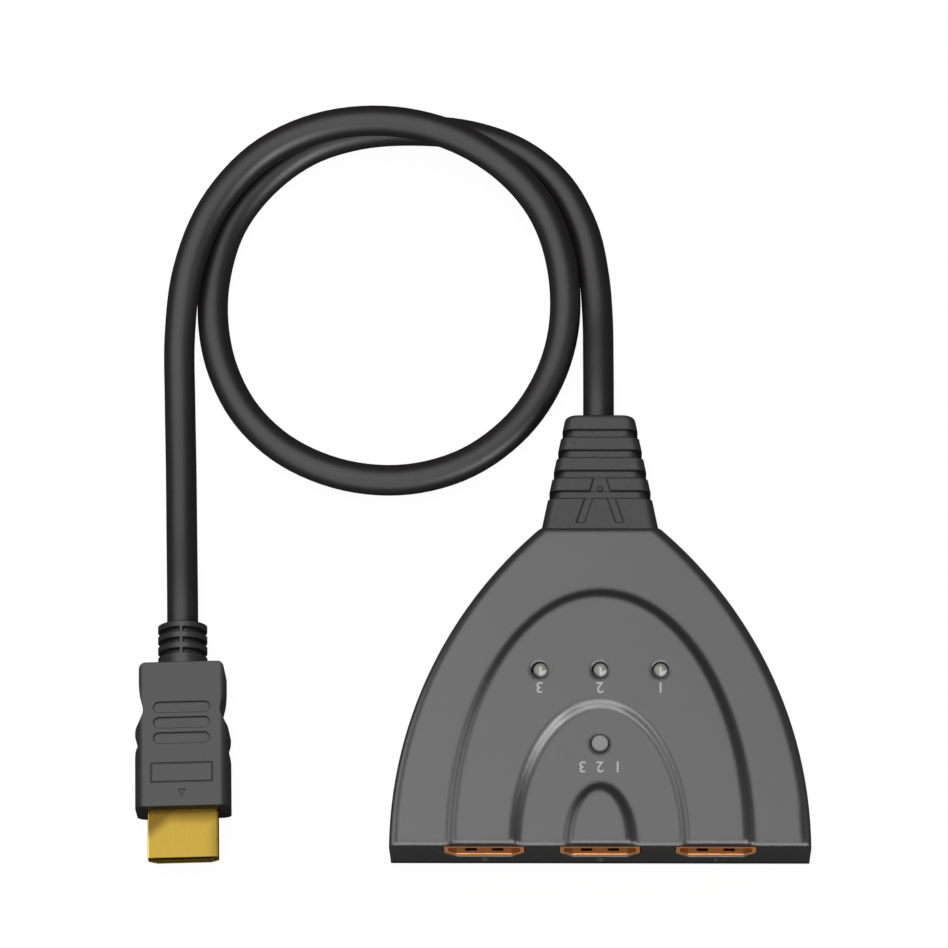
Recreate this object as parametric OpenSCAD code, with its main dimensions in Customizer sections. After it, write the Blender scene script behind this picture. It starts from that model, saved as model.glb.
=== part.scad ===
// Three-input video switch box: a rounded, terraced ABS housing with three sockets
// in its front face, three indicator lamps and a select button on top, and a captive
// output cord that leaves through a ribbed boot and ends in a moulded plug.
// +X is to the right, +Y runs from the sockets to the boot, +Z is up, in millimetres.
// The origin is under the middle of the housing and boot, on the table.

/* [Housing] */
// Width of the housing at its front face
body_w = 82.2; // [80:0.2:90]
// Length of the housing from its front face to its back
body_len = 65; // [63:0.5:70]
// Height of the plain top surface above the table
body_h = 14.5; // [14.1:0.1:17]
// Plan radius of each curved side
side_r = 87.5; // [84:0.5:94]
// Rounding along the curved side edges of the top
edge_r = 2; // [1:0.1:2.6]
// Rounding along the back edge of the top
back_edge_r = 0.8; // [0.4:0.1:1.6]
// Rounding of the two upright back corners
corner_r = 1.3; // [0.8:0.1:3]
// Wall thickness of the top cover
wall = 1.8; // [1.5:0.1:2.1]
// Thickness of the bottom cover
base_t = 2; // [1.6:0.1:2.3]

/* [Terraces] */
// Height of one terrace step
step_h = 1.5; // [0.8:0.1:2]
// Width of the slope along a step
step_run = 1.9; // [1.2:0.1:2.4]
// Width of the outer, raised terrace on the front edge
outer_w = 58; // [54:0.5:62]
// Reach of the outer terrace from the front face
outer_len = 51.2; // [48:0.2:55]
// Width of the sunk middle terrace on the front edge
middle_w = 33; // [30:0.5:36]
// Reach of the middle terrace from the front face
middle_len = 28.4; // [27:0.2:30]
// Width of the raised inner terrace on the front edge
inner_w = 12.4; // [10:0.2:14]
// Reach of the inner terrace from the front face
inner_len = 11.7; // [10:0.1:13]

/* [Sockets] */
// Distance from an outer socket's centre to the housing's side
port_side = 18.5; // [17.6:0.1:20]
// Depth of the socket centres below the plain top surface
port_drop = 4.8; // [4.6:0.1:5]
// Width of a socket opening
port_w = 14; // [13.8:0.1:14.4]
// Height of a socket opening
port_h = 4.55; // [4.3:0.05:4.8]
// Depth of a socket behind its flange
port_depth = 11.4; // [10:0.2:12.5]
// Width of the flange round a socket's mouth
flange_w = 15.6; // [15.2:0.1:16]
// Height of the flange round a socket's mouth
flange_h = 7; // [6.4:0.1:7.2]
// Sheet thickness of the socket and plug shells
sheet = 0.3; // [0.25:0.05:0.4]

/* [Board and lamps] */
// Thickness of the circuit board
pcb_t = 1.6; // [1.2:0.1:1.8]
// Distance of the lamp row from the front face
lamp_row = 35.2; // [34:0.2:38]
// Distance between neighbouring lamp holes
lamp_pitch = 11.85; // [10:0.1:13]
// Diameter of a lamp's lens
lamp_d = 2.8; // [2.6:0.05:3]
// Diameter of a lamp hole in the cover
lamp_hole_d = 3.25; // [3.2:0.05:3.6]

/* [Button] */
// Distance of the button from the front face
button_row = 20.5; // [19.6:0.1:22]
// Diameter of the button's cap
button_d = 3.3; // [3:0.1:4]
// Height of the cap above the cover around it
button_proud = 0.5; // [0.3:0.1:0.9]
// How far the button can be pressed
button_travel = 0.4; // [0.25:0.05:0.5]

/* [Boot] */
// Length of the boot behind the housing
boot_len = 25; // [23:0.5:28]
// Width of the boot where it meets the housing
boot_w0 = 23.8; // [22:0.2:24]
// Width of the boot at its far end
boot_w1 = 13.8; // [13:0.2:15.4]
// Height of the boot
boot_h = 9.6; // [9:0.1:10.4]
// Height of the boot's centre line above the table
boot_z = 5.8; // [5.6:0.1:6.4]
// Rounding along the boot's edges
boot_r = 1.9; // [1.4:0.1:2.6]
// Number of grooves round the boot
groove_count = 4; // [3:1:4]
// Distance from one groove to the next
groove_pitch = 4.3; // [3.8:0.1:4.5]
// Width of a groove
groove_w = 1.7; // [1.2:0.1:2]
// Depth of a groove in the boot's flanks
groove_deep = 0.9; // [0.5:0.1:1.2]

/* [Cord and plug] */
// Diameter of the cord
cord_d = 6.2; // [5.6:0.1:6.2]
// Width of the plug's moulding at its front
plug_w = 18.6; // [18:0.2:20]
// Thickness of the plug's moulding
plug_t = 9.9; // [9.4:0.1:10.6]
// Length of the plug's moulding
plug_len = 29.5; // [28.5:0.5:32]
// Length of the bare shell in front of the moulding
shell_reach = 9.7; // [9:0.1:11.5]
// Width of the plug's shell
shell_w = 13.9; // [13.6:0.05:13.95]
// Height of the plug's shell
shell_h = 4.45; // [4.2:0.05:4.5]
// Length of the slotted collar behind the moulding
collar_len = 8.5; // [8.2:0.1:11]
// Diameter of the slotted collar
collar_d = 9.8; // [9:0.1:9.8]

/* [Fits] */
// Gap round a piece that fits in a window or hole
fit = 0.15; // [0.1:0.01:0.2]
// Gap round the button and its plunger
run_gap = 0.15; // [0.12:0.01:0.2]

/* [Hidden] */
$fn = 64;
eps = 0.01;
past = 1;

// Places along Y
front_y = -(body_len + boot_len) / 2;
back_y = front_y + body_len;
boot_end_y = back_y + boot_len;

// Socket centres
port_pitch = body_w / 2 - port_side;
port_z = body_h - port_drop;

// Plan outline: each side is an arc whose centre lies on the front plane
side_c = side_r - body_w / 2;
corner_x = sqrt(pow(side_r - corner_r, 2) - pow(body_len - corner_r, 2)) - side_c;
front_cut = 0.35;
base_edge_r = 0.6;

// Levels inside the housing
cavity_top = body_h - wall;
shell_low = port_z - port_h / 2 - sheet;
pcb_top = shell_low;
pcb_low = pcb_top - pcb_t;
raised_h = body_h + step_h;

// Board outline and what holds it
pcb_front = front_y + wall + 1.6;
pcb_behind = 18;
pcb_back = back_y - pcb_behind;
pcb_w0 = 2 * port_pitch + port_w + 4.4;
pcb_w1 = 34;
pcb_square = 14;
peg_d = 2;
peg_x = [pcb_w0 / 2 - 3.5, pcb_w1 / 2 - 2.5];
peg_row = 16;
peg_inset = 3;
peg_y = [front_y + peg_row, pcb_back - peg_inset];
stand_d = 4.4;

// Screws: two near the front corners, two beside the boot
screw_d = 2.2;
screw_head_d = 4;
screw_head_t = 1.3;
screw_len = 8;
boss_d = 5;
screw_side = 5.2;
screw_mid = 15.5;
screw_row = 6;
screw_behind = 11.5;
screw_x = [body_w / 2 - screw_side, screw_mid];
screw_y = [front_y + screw_row, back_y - screw_behind];
socket_d = 1.9;
socket_w = 0.5;
socket_t = 0.7;
screw_sunk = 0.02;

// Lip of the bottom cover inside the top cover
lip_t = 1;
lip_h = 2.2;

// Boot pieces that reach into the housing
neck_w = 19;
neck_top = boot_z + 3.9;
anchor_w = neck_w + 1.6;
anchor_t = 1.6;
bore_d = cord_d + 0.16;
boot_end_r = 0.9;
top_groove = 0.5;
end_band = 3.95;
first_groove = boot_len - end_band - (groove_count - 1) * groove_pitch;
// Sunk cross on the boot's top: two legs in the last band, and the gap in the band behind it
leg_foot = 2.3;
leg_foot_x = [3.1, 4.75];
leg_head_x = [1.3, 2.95];
gap_x = [2.15, 1.2];
pip_d = 1;
stub_len = 8;
// The cord sits a little left of the boot's middle
cord_x = -0.3;
wire_count = 5;
wire_d = 0.9;
wire_pitch = 2.4;
pad_inset = 1.8;
pad_w = 1;

// Main chip on the board
chip_w = 10;
chip_t = 1.2;
chip_in = 9.1;
chip_x = chip_in - port_pitch;
chip_row = 26;
chip_y = front_y + chip_row;
chip_pins = 12;
chip_pin_pitch = 0.65;
chip_pin_w = 0.24;
chip_pin_reach = 1.1;
chip_lift = 0.1;

// Regulator, two rows of small components behind the outer sockets, and two capacitors
reg_in = 8.6;
reg_x = port_pitch - reg_in;
reg_row = 25;
reg_w = 6.4;
reg_len = 3.6;
reg_t = 1.6;
reg_leg = 1.6;
part_w = 0.8;
part_len = 1.6;
part_t = 0.5;
part_pitch = 1.9;
parts_in_row = 6;
part_in = 3.4;
part_behind = 5.6;
cap_d = 3;
cap_h = 3;
cap_in = 2.6;
cap_x = [1.5 * cap_d, port_pitch - cap_in];
cap_row = 29.5;

// Button stack, from the switch body up to the cap
tact_w = 6;
tact_h = 3.5;
tact_top = pcb_top + tact_h;
plunger_d = 3.4;
plunger_depth = 1.2;
cap_flange_d = button_d + 2;
cap_flange_top = cavity_top - 0.3;
cap_flange_t = 0.8;
plunger_top = cap_flange_top - cap_flange_t;
button_y = front_y + button_row;

// Lamps: the lens stands a little off its hole's centre, more so to the left
lamp_y = front_y + lamp_row;
lamp_top = raised_h - 0.45;
lamp_len = 4.6;
lamp_flange = 0.5;
lamp_drift = 0.08;
lead_t = 0.5;
lead_pitch = 1.27;
lead_hole_d = 1;
lead_below = 1;

// Sockets
cut_share = 0.62;
flange_low = port_z - flange_h / 2 - 0.1;
flange_t = 0.4;
flange_back = 0.1;
leg_w = 1;
leg_hole_d = 1.3;
leg_below = 0.9;
spring_x = 2.62;
spring_w = 2.2;
spring_len = 5.6;
spring_start = 0.65;
tongue_w = 11.8;
tongue_t = 1.7;
tongue_start = 2.2;
block_len = 3.2;
contact_w = 0.36;
contact_t = 0.15;
contact_pitch = 1;
upper_contacts = 10;
lower_contacts = 9;

// Plug: it lies on the table with its mouth beside the sockets, turned by a degree or two
plug_turn = 1.6;
plug_x = -81.6;
plug_y = -45.6;
plug_z = plug_t / 2;
plug_back = shell_reach + plug_len;
plug_end = plug_back + collar_len;
plug_r = 2;
plug_corner_r = 1.3;
shell_sunk = 8;
socket_depth = 12;
bump_len = [0, 10.3, 12.5, 14.4, 16, 17.7, 19.7, 22.6, 25];
bump_in = [0, 0, 0.6, 0.1, 0.15, 1, 1.7, 1.1, 0.88];
grip_w = 11.1;
grip_h = 2.2;
grip_pitch = 3.15;
grip_first = 13.9;
grip_deep = 0.45;
// Bare engraved frame and arrow near the plug's mouth
frame_w = 12.2;
frame_h = 4;
frame_first = 4.85;
line_w = 0.22;
line_deep = 0.15;
arrow_w = 1.3;
arrow_first = 2.1;
slot_count = 3;
slot_w = 1.05;
slot_pitch = 2.2;
slot_first = 1.65;
slot_core_d = cord_d + 1.2;
web_t = 0.6;
plug_slot_h = 1.9;

// Route of the cord's centre line between the boot and the plug, chosen by hand:
// out of the boot, round the loop, up onto its own first strand and down to the plug
route_free = [
    [-0.34, 59, 4.8], [-0.48, 68, 3.5], [-1.1, 77.5, 3.15], [-3.2, 87.5, 3.2], [-8.2, 97, 3.2],
    [-16.2, 104, 3.2], [-26.5, 108, 3.2], [-38, 109.2, 3.2], [-49.5, 108.3, 3.2],
    [-60, 104.6, 3.2], [-68.7, 97.6, 3.2], [-75, 88.5, 3.2], [-78, 78, 3.2],
    [-78.4, 67.5, 3.2], [-76.2, 57, 3.2], [-71, 47.2, 3.2], [-62.5, 39.4, 3.2],
    [-51, 34.6, 3.2], [-38.5, 33.8, 3.2], [-26.5, 37.4, 3.2], [-16.6, 45.2, 3.2],
    [-10.2, 55.4, 3.3], [-7.4, 67, 4], [-8.1, 79.5, 5.3], [-12.2, 91, 6.1],
    [-20, 100, 7.5], [-31, 106, 9.3], [-44, 108.6, 10], [-57.5, 107, 10],
    [-69.5, 100.8, 9.7], [-78.5, 90, 9], [-83.4, 77, 7.6], [-84.95, 64, 5],
    [-84.7, 50, 3.3], [-84.15, 36, 3.2], [-83.65, 22, 3.7]];
lead_out = 6;
lead_in = 7;
function on_plug(s) = [plug_x - s * sin(plug_turn), plug_y + s * cos(plug_turn), plug_z];
route = concat([[cord_x, boot_end_y, boot_z], [cord_x, boot_end_y + lead_out, boot_z]],
    route_free,
    [on_plug(plug_end + lead_in), on_plug(plug_end)]);
cord_sides = 12;
cord_steps = 2;

// Corner points of an outline, each rounded by an arc of radius r in n steps
function unit(v) = v / norm(v);
function turn_of(a, b, c) = acos(min(1, max(-1, unit(a - b) * unit(c - b))));
function arc_point(b, u, v, r, half, k) =
    let (c = b + unit(u + v) * r / sin(half), start = b + u * r / tan(half) - c,
        end = b + v * r / tan(half) - c)
    c + unit(start * (1 - k) + end * k) * r;
function rounded(p, r, n = 4) = [for (i = [0:len(p) - 1])
    let (a = p[(i + len(p) - 1) % len(p)], b = p[i], c = p[(i + 1) % len(p)],
        half = turn_of(a, b, c) / 2)
    for (k = [0:n]) arc_point(b, unit(a - b), unit(c - b), r, half, k / n)];

// Outline of a socket or plug mouth: wide side up, both lower corners cut off
function mouth(w, h, low = 0) = let (cut = h * cut_share * 0.56)
    [[-w / 2 + cut, low], [w / 2 - cut, low], [w / 2, low + cut], [w / 2, low + h],
     [-w / 2, low + h], [-w / 2, low + cut]];

// A plan shape drawn in X and Z, extruded along +Y from y0 by the given length
module along_y(y0, length) {
    translate([0, y0 + length, 0]) rotate([90, 0, 0]) linear_extrude(length) children();
}

module side_disc(inset, z0, z1, top_r) {
    r = side_r - inset;
    translate([0, 0, z0]) rotate_extrude($fn = 180) {
        square([r - top_r, z1 - z0]);
        square([r, z1 - z0 - top_r]);
        if (top_r > 0) translate([r - top_r, z1 - z0 - top_r]) circle(top_r, $fn = 32);
    }
}

// Block with a bevelled front top edge and a rounded back one, seen along X
module side_view(y0, y1, z0, z1, bevel, r) {
    rotate([90, 0, 90]) translate([0, 0, -body_w]) linear_extrude(2 * body_w) {
        polygon([[y0, z0], [y1 - r, z0], [y1 - r, z1], [y0 + bevel, z1], [y0, z1 - bevel]]);
        translate([y0 + bevel, z0]) square([y1 - y0 - bevel, z1 - z0 - r]);
        if (r > 0) translate([y1 - r, z1 - r]) circle(r, $fn = 32);
    }
}

// The housing's outer form between two levels, drawn in by an inset all round
module housing_form(inset, z0, z1, top_r = 0, bevel = 0) {
    intersection() {
        translate([side_c, front_y, 0]) side_disc(inset, z0, z1, top_r);
        translate([-side_c, front_y, 0]) side_disc(inset, z0, z1, top_r);
        side_view(front_y + inset, back_y - inset, z0, z1, bevel, min(top_r, back_edge_r));
    }
}

// What the rounding of the upright back corners takes away
module corner_trims(z0, z1) {
    tangent = unit([corner_x + side_c, body_len - corner_r]) * side_r - [side_c, 0];
    for (side = [0, 1]) mirror([side, 0, 0]) translate([0, front_y, z0 - past])
        linear_extrude(z1 - z0 + 2 * past) difference() {
            polygon([[corner_x, body_len - corner_r], [corner_x, body_len + past],
                [corner_x + 2 * corner_r, body_len + past], tangent + [past, 0.6 * past],
                tangent]);
            translate([corner_x, body_len - corner_r]) circle(corner_r, $fn = 32);
        }
}

// Height of a terrace's slope where it has drawn in by the share t of its run
function slope_z(t) = body_h + step_h * t * t * (3 - 2 * t);
oval_steps = 40;
slope_steps = 4;
ts = [for (i = [0:slope_steps]) i / slope_steps];

// Closed solid through rings of equally many points
module loft(rings) {
    n = len(rings[0]);
    polyhedron([for (r = rings) each r], concat(
        [for (i = [0:len(rings) - 2], k = [0:n - 1])
            let (a = i * n + k, b = i * n + (k + 1) % n) each [[a, b, a + n], [b, b + n, a + n]]],
        [[for (k = [n - 1:-1:0]) k]],
        [[for (k = [0:n - 1]) (len(rings) - 1) * n + k]]));
}

// Outline of the raised band at the angle a round the front edge's middle
function band(a, y0, top) = let (foot = 0.5, half = step_run / 2,
    side = concat([[0, body_h - foot]], [for (t = ts) [t, slope_z(t)]]),
    points = concat(
        [for (q = side) [outer_w / 2 + half - q.x * step_run,
            outer_len - front_cut + half - q.x * step_run, min(q.y, top)]],
        [for (i = [len(side) - 1:-1:0]) [middle_w / 2 - half + side[i].x * step_run,
            middle_len - front_cut - half + side[i].x * step_run, min(side[i].y, top)]]))
    [for (q = points) [q.x * cos(a), front_y + y0 + q.y * sin(a), q.z]];

module raised_top() {
    loft(concat([band(0, 0, raised_h - front_cut)],
        [for (k = [0:oval_steps]) band(180 * k / oval_steps, front_cut, raised_h)],
        [band(180, 0, raised_h - front_cut)]));
    // Raised middle, cut off along its front edge
    loft([for (q = concat([[0, body_h - 0.5]], [for (t = ts) [t, slope_z(t)]]))
        [for (k = [0:oval_steps]) let (in = step_run * (0.5 - q.x))
            [-(inner_w / 2 + in) * cos(180 * k / oval_steps),
             front_y + max((inner_len + in) * sin(180 * k / oval_steps),
                q.y - raised_h + front_cut, 0), q.y]]]);
}

// Boot slot in the back wall, open at the bottom
module neck_slot(gap) {
    along_y(back_y - 3 * wall, 3 * wall + 2 * past)
        polygon([[-neck_w / 2 - gap, base_t - past], [neck_w / 2 + gap, base_t - past],
            [neck_w / 2 + gap, neck_top - 2 + gap], [neck_w / 2 - 2 + gap, neck_top + gap],
            [-neck_w / 2 + 2 - gap, neck_top + gap], [-neck_w / 2 - gap, neck_top - 2 + gap]]);
}

module at_screws() {
    for (x = [-1, 1], i = [0, 1]) translate([x * screw_x[i], screw_y[i], 0]) children();
}

module at_ports() {
    for (i = [-1:1]) translate([i * port_pitch, 0, 0]) children();
}

module top_cover() {
    color("#6e6e6e") difference() {
        union() {
            difference() {
                housing_form(0, base_t, body_h, edge_r, front_cut);
                corner_trims(base_t, body_h);
                housing_form(wall, base_t - past, cavity_top);
            }
            raised_top();
            intersection() {
                at_screws() translate([0, 0, base_t + eps])
                    cylinder(h = cavity_top - base_t, d = boss_d);
                housing_form(wall / 2, base_t, body_h - wall / 2);
            }
        }
        at_ports() along_y(front_y - past, wall + 2 * past)
            polygon(mouth(flange_w + 2 * fit, flange_h + 2 * fit, flange_low - fit));
        for (i = [-1:1]) translate([i * lamp_pitch, lamp_y, cavity_top - past])
            cylinder(h = wall + step_h + 2 * past, d = lamp_hole_d);
        translate([0, button_y, cavity_top - past])
            cylinder(h = wall + 2 * past, d = button_d + 2 * run_gap);
        at_screws() translate([0, 0, base_t - past])
            cylinder(h = screw_len - screw_head_t + past, d = screw_d + 0.1);
        neck_slot(fit);
    }
}

module bottom_cover() {
    lip_out = wall + fit;
    color("#333333") difference() {
        union() {
            intersection() {
                difference() {
                    housing_form(0, 0, base_t);
                    corner_trims(0, base_t);
                }
                // Rounded lower edge
                translate([0, 0, base_t]) mirror([0, 0, 1])
                    housing_form(0, 0, base_t, base_edge_r, base_edge_r);
            }
            difference() {
                housing_form(lip_out, base_t - eps, base_t + lip_h);
                housing_form(lip_out + lip_t, base_t - past, base_t + lip_h + past);
                translate([-neck_w / 2 - lip_t, back_y - 3 * wall, base_t])
                    cube([neck_w + 2 * lip_t, 3 * wall, lip_h + past]);
                at_screws() translate([0, 0, base_t])
                    cylinder(h = lip_h + past, d = boss_d + 2 * fit);
            }
            for (x = [-1, 1], i = [0, 1]) translate([x * peg_x[i], peg_y[i], base_t - eps]) {
                cylinder(h = pcb_low - base_t + eps, d = stand_d);
                cylinder(h = pcb_top - base_t + 0.6, d = peg_d);
            }
        }
        at_screws() {
            translate([0, 0, -past]) cylinder(h = base_t + 2 * past, d = screw_d + 2 * fit);
            translate([0, 0, -past])
                cylinder(h = screw_head_t + past + screw_sunk, d = screw_head_d + 2 * fit);
        }
    }
}

module cover_screws() {
    color("#4a4a4c") at_screws() translate([0, 0, screw_sunk]) difference() {
        union() {
            cylinder(h = screw_head_t, d = screw_head_d);
            cylinder(h = screw_len, d = screw_d);
        }
        for (a = [0, 90]) rotate([0, 0, a])
            translate([-socket_d / 2, -socket_w / 2, -past])
                cube([socket_d, socket_w, past + socket_t]);
    }
}

// Section of the boot at the distance y behind the housing, drawn in by some width and height
function boot_ring(y, in = 0, low = 0) = let (r = boot_r, n = 6,
        w = boot_w0 / 2 + (boot_w1 - boot_w0) / 2 * y / boot_len - in - r,
        h = boot_h / 2 - low - r, side_x = [w, -w, -w, w], side_z = [h, h, -h, -h])
    [for (q = [0:3], k = [0:n]) let (a = 90 * (q + k / n))
        [side_x[q] + r * cos(a), back_y + y, boot_z + side_z[q] + r * sin(a)]];

// Distances behind the housing of a groove's two walls
function groove_at(i) = first_groove + i * groove_pitch - groove_w / 2;

module strain_relief_boot() {
    lean = 0.15;
    color("#515151") difference() {
        union() {
            loft(concat([boot_ring(0)],
                [for (i = [0:groove_count - 1]) let (y = groove_at(i)) each [
                    boot_ring(y), boot_ring(y + lean, groove_deep, top_groove),
                    boot_ring(y + groove_w - lean, groove_deep, top_groove),
                    boot_ring(y + groove_w)]],
                [for (a = [0:22.5:90]) boot_ring(boot_len - boot_end_r * (1 - sin(a)),
                    boot_end_r * (1 - cos(a)), boot_end_r * 0.5 * (1 - cos(a)))]));
            // Neck through the back wall, and the anchor behind it
            intersection() {
                neck_slot(0);
                translate([-neck_w, back_y - wall - fit - anchor_t / 2, base_t + 0.05])
                    cube([2 * neck_w, wall + fit + anchor_t / 2 + 1, boot_h * 2]);
            }
            along_y(back_y - wall - fit - anchor_t, anchor_t)
                polygon([[-anchor_w / 2, base_t + 0.05], [anchor_w / 2, base_t + 0.05],
                    [anchor_w / 2, neck_top - 1], [neck_w / 2 - 1, neck_top + 0.8],
                    [-neck_w / 2 + 1, neck_top + 0.8], [-anchor_w / 2, neck_top - 1]]);
        }
        translate([cord_x, back_y - 3 * wall, boot_z]) rotate([-90, 0, 0])
            cylinder(h = boot_len + 4 * wall, d = bore_d);
        // Sunk cross: two slanting legs up to the last groove, and a gap in the band behind it
        translate([0, back_y, boot_z + boot_h / 2 - top_groove + 0.1]) {
            for (side = [0, 1]) mirror([side, 0, 0]) linear_extrude(past)
                polygon([[leg_foot_x[0], leg_foot], [leg_foot_x[1], leg_foot],
                    [leg_head_x[1], groove_at(0) + 0.4], [leg_head_x[0], groove_at(0) + 0.4]]);
            difference() {
                linear_extrude(past) polygon([
                    [-gap_x[0], groove_at(0) + groove_w - 0.4], [gap_x[0], groove_at(0) + groove_w - 0.4],
                    [gap_x[1], groove_at(1) + 0.4], [-gap_x[1], groove_at(1) + 0.4]]);
                translate([0, groove_at(0) + groove_w + 0.35, -past])
                    cylinder(h = past + 0.25, d = pip_d, $fn = 24);
            }
        }
    }
}

module inner_cable() {
    color("#2c2b2b") translate([cord_x, back_y - stub_len, boot_z]) rotate([-90, 0, 0])
        cylinder(h = boot_len + stub_len, d = cord_d);
}

module cable_wires() {
    y0 = pcb_back - pad_inset;
    y1 = back_y - stub_len;
    z0 = pcb_top + wire_d / 2 + 0.05;
    z1 = boot_z + wire_d;
    climb = max(0, (z1 - z0) / (y1 - pcb_back)) * pad_inset;
    color("#8a3a30") for (i = [0:wire_count - 1]) {
        x0 = (i - (wire_count - 1) / 2) * wire_pitch;
        x1 = x0 * 0.36 + cord_x;
        a = [x0, pcb_back, z0 + 0.05 + climb];
        b = [x1, y1, z1];
        over_pad = a.z + (a.z - b.z) / (b.y - a.y) * pad_inset;
        // Slanting run from the jacket to the board's edge, cut square at both ends
        intersection() {
            translate(a) rotate([0, 0, atan((a.x - b.x) / (b.y - a.y))])
                rotate([-90 - atan((a.z - b.z) / (b.y - a.y)), 0, 0])
                translate([0, 0, -2 * pad_inset])
                cylinder(h = norm(b - a) + 4 * pad_inset, d = wire_d, $fn = 24);
            translate([-pcb_w1, y0, 0]) cube([2 * pcb_w1, y1 - y0, body_h]);
        }
        // Tinned end on its pad
        translate([x0 - pad_w / 2, y0 - pad_w, pcb_top])
            cube([pad_w, pad_w, over_pad - wire_d / 4 - pcb_top]);
    }
}

module pcb() {
    color("#2f6b3a") translate([0, 0, pcb_low]) difference() {
        linear_extrude(pcb_t) polygon([
            [-pcb_w0 / 2, pcb_front + 6.5], [-pcb_w0 / 2 + 6, pcb_front],
            [pcb_w0 / 2 - 6, pcb_front], [pcb_w0 / 2, pcb_front + 6.5],
            [pcb_w0 / 2, pcb_front + pcb_square], [pcb_w1 / 2, pcb_back],
            [-pcb_w1 / 2, pcb_back], [-pcb_w0 / 2, pcb_front + pcb_square]]);
        for (x = [-1, 1], i = [0, 1]) translate([x * peg_x[i], peg_y[i], -past])
            cylinder(h = pcb_t + 2 * past, d = peg_d + 2 * fit);
        for (i = [-1:1], s = [-1, 1])
            translate([lamp_x(i) + s * lead_pitch / 2, lamp_y, -past])
                cylinder(h = pcb_t + 2 * past, d = lead_hole_d, $fn = 24);
        at_ports() at_legs() translate([0, 0, -past])
            cylinder(h = pcb_t + 2 * past, d = leg_hole_d, $fn = 24);
    }
}

module select_button() {
    color("#9a9a9a") translate([0, button_y, 0]) {
        translate([0, 0, cap_flange_top - eps]) difference() {
            cylinder(h = body_h + button_proud - cap_flange_top + eps, d = button_d);
            // Small bevel round the cap's face
            translate([0, 0, body_h + button_proud - cap_flange_top - 0.2]) difference() {
                cylinder(h = past, d = button_d + past);
                cylinder(h = 0.2 + eps, d1 = button_d, d2 = button_d - 0.4);
            }
        }
        translate([0, 0, plunger_top]) cylinder(h = cap_flange_t, d = cap_flange_d);
    }
}

module tact_switch_body() {
    color("#27272a") translate([0, button_y, 0]) difference() {
        translate([-tact_w / 2, -tact_w / 2, pcb_top]) cube([tact_w, tact_w, tact_h]);
        translate([0, 0, tact_top - plunger_depth - button_travel - 0.3])
            cylinder(h = tact_h, d = plunger_d + 2 * run_gap);
        for (a = [45:90:315]) rotate([0, 0, a]) translate([tact_w * 0.62, 0, tact_top - 0.25])
            cylinder(h = past, d = 1, $fn = 24);
    }
}

module tact_switch_plunger() {
    color("#d8d4c8") translate([0, button_y, tact_top - plunger_depth])
        cylinder(h = plunger_top - tact_top + plunger_depth, d = plunger_d);
}

// Lamp 1 is at the right, lamp 3 at the left
function lamp_x(i) = i * lamp_pitch + (1 - i) * lamp_drift;

module led(i) {
    base = lamp_top - lamp_len;
    r = lamp_d / 2;
    color("#c9cbc6") translate([lamp_x(i), lamp_y, 0]) {
        translate([0, 0, base]) cylinder(h = lamp_len - r, d = lamp_d);
        translate([0, 0, lamp_top - r]) sphere(d = lamp_d);
        translate([0, 0, base]) cylinder(h = lamp_flange, d = lamp_d + 0.6);
        for (s = [-1, 1]) translate([s * lead_pitch / 2 - lead_t / 2, -lead_t / 2,
            pcb_low - lead_below])
            cube([lead_t, lead_t, base - pcb_low + lead_below + eps]);
    }
}

module at_legs() {
    for (s = [-1, 1], y = [4.4, 9.6])
        translate([s * (port_w / 2 + sheet / 2), front_y + flange_back + flange_t + y, 0])
            children();
}

module port_shell(i) {
    y0 = front_y + flange_back;
    y1 = y0 + flange_t;
    low = port_z - port_h / 2;
    color("#b8763e") translate([i * port_pitch, 0, 0]) {
        difference() {
            union() {
                along_y(y0, flange_t)
                    polygon(rounded(mouth(flange_w, flange_h, flange_low), 0.7));
                along_y(y1 - eps, port_depth + eps)
                    polygon(rounded(mouth(port_w + 2 * sheet, port_h + 2 * sheet, shell_low), 0.6));
            }
            along_y(y0 - past, port_depth + flange_t - sheet + past)
                polygon(rounded(mouth(port_w, port_h, low), 0.4));
            // Spring windows in the floor and the roof
            for (s = [-1, 1], z = [low - sheet / 2, low + port_h + sheet / 2])
                translate([s * spring_x - spring_w / 2, y0 + spring_start, z - sheet])
                    cube([spring_w, spring_len, 2 * sheet]);
        }
        // Springs, fixed at their back ends and bowed into the socket
        for (s = [-1, 1], up = [0, 1])
            translate([s * spring_x, y0 + spring_start, up == 0 ? low : low + port_h])
                mirror([0, 0, up]) rotate([90, 0, 90]) translate([0, 0, -spring_w * 0.36])
                linear_extrude(spring_w * 0.72) polygon([
                    [spring_len + eps, -sheet], [spring_len + eps, 0], [spring_len * 0.45, 0.5],
                    [0.6, 0.1], [0.6, -0.2], [spring_len * 0.45, 0.2]]);
        // Legs through the board
        at_legs() translate([-sheet / 2, -leg_w / 2, pcb_low - leg_below])
            cube([sheet, leg_w, port_z - pcb_low + leg_below - 0.3]);
    }
}

module port_tongue(i) {
    back = front_y + flange_back + flange_t + port_depth - sheet;
    y0 = front_y + flange_back + tongue_start;
    low = port_z - port_h / 2;
    color("#1d1d1f") translate([i * port_pitch, 0, 0]) {
        along_y(back - block_len, block_len)
            polygon(rounded(mouth(port_w - 0.1, port_h - 0.1, low + 0.05), 0.4));
        difference() {
            translate([-tongue_w / 2, y0, port_z - tongue_t / 2])
                cube([tongue_w, back - block_len - y0 + eps, tongue_t]);
            // Bevelled lead-in along the tip
            for (s = [0, 1]) translate([0, 0, port_z]) mirror([0, 0, s])
                translate([0, y0, tongue_t / 2]) rotate([45, 0, 0])
                cube([tongue_w + past, 0.5, 0.5], center = true);
        }
    }
}

// One row of flat contacts along a tongue; each is a strip of the given length
module contact_row(count, y0, length, z) {
    for (k = [0:count - 1])
        translate([(k - (count - 1) / 2) * contact_pitch - contact_w / 2, y0, z])
            cube([contact_w, length, contact_t]);
}

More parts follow.
